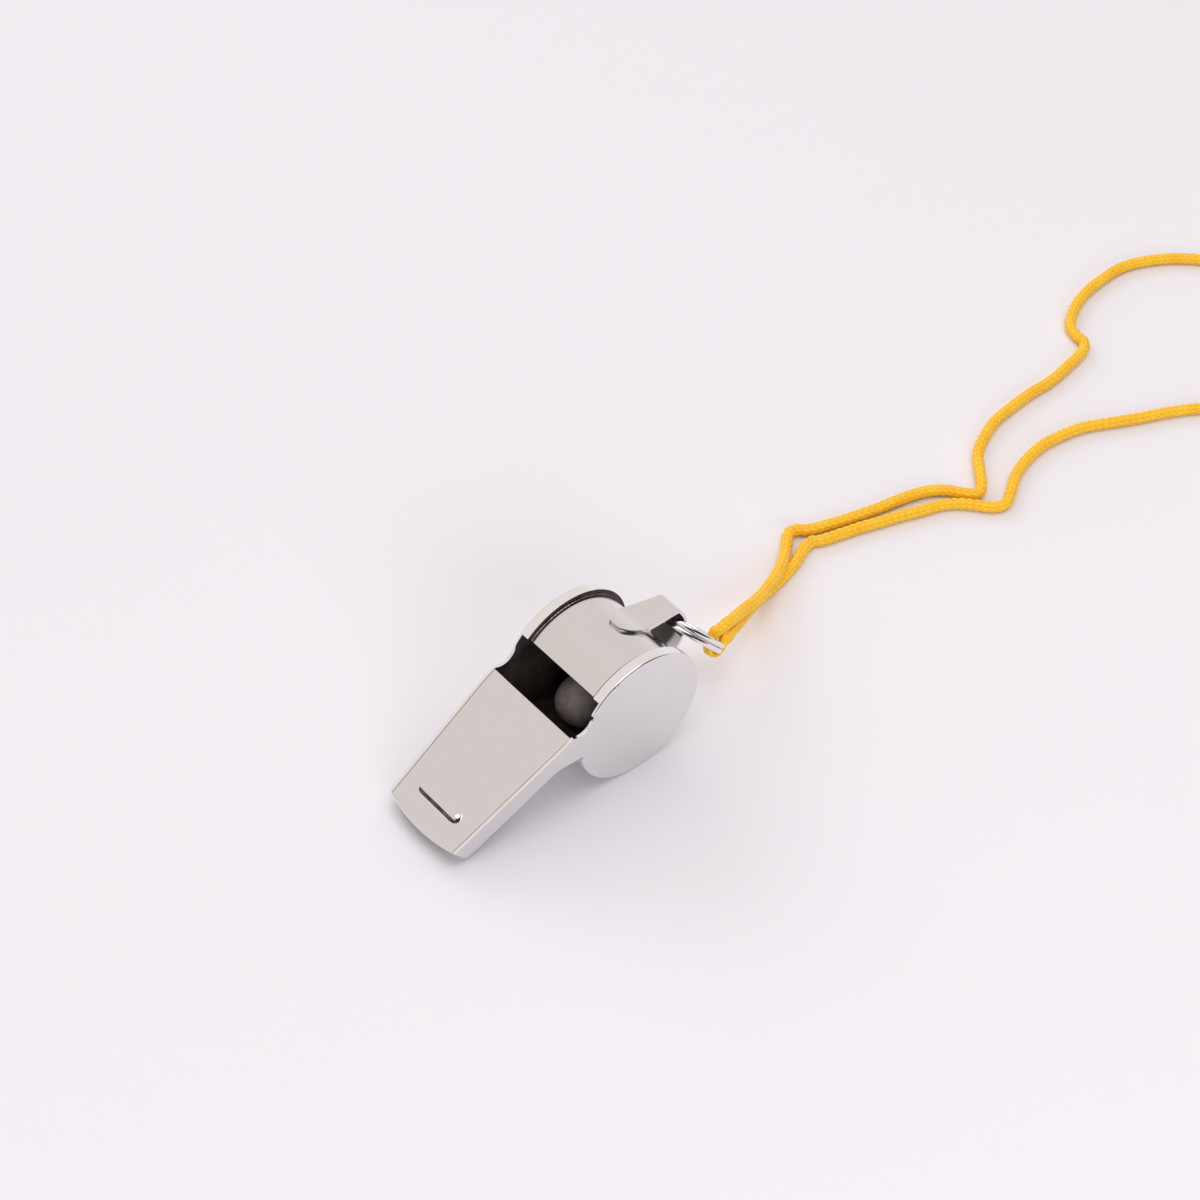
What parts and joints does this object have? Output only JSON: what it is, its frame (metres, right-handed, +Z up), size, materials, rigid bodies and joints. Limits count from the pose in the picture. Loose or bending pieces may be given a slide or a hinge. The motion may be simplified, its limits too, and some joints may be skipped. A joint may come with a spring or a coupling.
{
  "type": "sports whistle",
  "caption": "Sheet metal pea whistle with a broad barrel, open sounding window, loose pea, folded back lug and split ring carrying a knitted neck cord.",
  "frame": {"origin": "middle of the box round the whistle and its ring along X, middle plane of the whistle in Y, table plane in Z; the whistle stands on its two rims and on the floor edge of its mouthpiece", "axes": "+X from the mouthpiece's tip to the split ring, +Y to the left side plate, +Z up; the barrel's axis is along Y"},
  "size_m": [0.1958, 0.0525, 0.021],
  "materials": {
    "plated_steel": "nickel plated sheet metal, softly polished",
    "ring_wire": "bright plated round wire",
    "pea": "dark brown pressed cork, dull",
    "cord": "orange knitted cord"
  },
  "bodies": {
    "whistle": {"barrel_strip": "plated_steel", "mouthpiece_roof": "plated_steel", "left_side_plate": "plated_steel", "right_side_plate": "plated_steel", "lanyard_lug": "plated_steel", "lanyard_run_a": "cord", "lanyard_run_b": "cord", "lanyard_coil": "cord"},
    "ring": {"split_ring": "ring_wire", "lanyard_bight": "cord"},
    "ball": {"pea": "pea"}
  },
  "joints": [
    {"name": "ring_swing", "type": "hinge", "parent": "whistle", "child": "ring", "pos_m": [0.01781, 0, 0.01536], "axis": [0, 1, 0], "range_deg": [-185, 40], "deforming": ["lanyard_run_a", "lanyard_run_b"]},
    {"name": "pea_orbit", "type": "hinge", "parent": "whistle", "child": "ball", "pos_m": [0.00597, 0, 0.0105], "axis": [0, 1, 0], "continuous": true}
  ]
}
